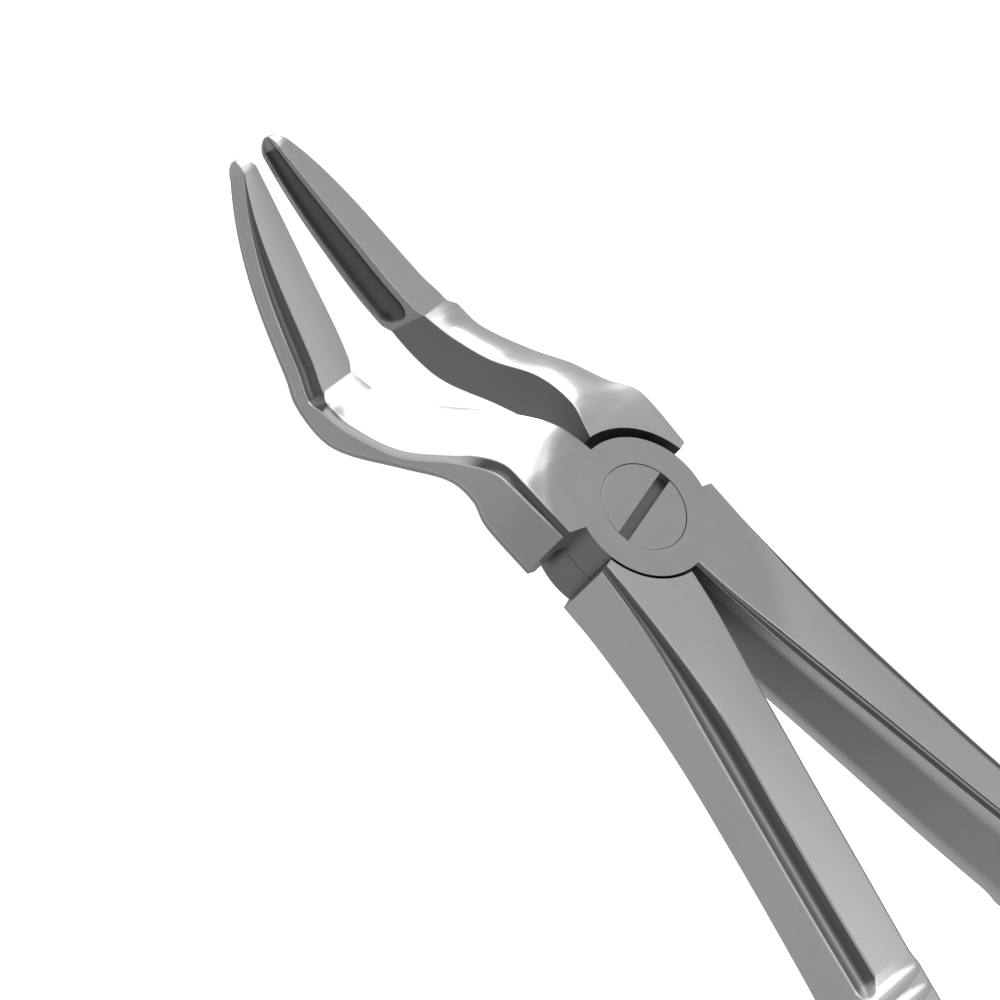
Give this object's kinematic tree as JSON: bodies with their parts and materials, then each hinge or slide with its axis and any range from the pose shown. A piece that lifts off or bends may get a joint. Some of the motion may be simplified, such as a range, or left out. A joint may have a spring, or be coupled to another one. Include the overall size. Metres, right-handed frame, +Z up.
{
  "type": "extraction forceps",
  "caption": "Bayonet extraction forceps: two crossed steel halves on a flush slotted shoulder screw, with narrow gouged beaks, offset shanks and fluted handles.",
  "frame": {"origin": "the hinge axis where it meets the joint's flat back face", "axes": "+X towards the beak tips, level with the surface the tool lies on; +Z up, on the side of the screw head; +Y towards the beak of the front half. The hinge axis leans 2.51 degrees from +Z towards the handles, because the tool rests on its two bends and its two handle ends"},
  "size_m": [0.1744, 0.05, 0.0174],
  "materials": {
    "front_steel": "satin stainless steel, lengthwise grain, mirror polished on the shank",
    "rear_steel": "satin stainless steel, lengthwise grain, mirror polished on the shank",
    "screw_steel": "satin stainless steel, ground flush"
  },
  "bodies": {
    "rear": {"rear_half": "rear_steel", "pivot_screw": "screw_steel"},
    "front": {"front_half": "front_steel"}
  },
  "joints": [
    {"name": "pivot", "type": "hinge", "parent": "rear", "child": "front", "pos_m": [0, 0, 0], "axis": [-0.0438, 0, 0.999], "range_deg": [-3.5, 28]}
  ]
}
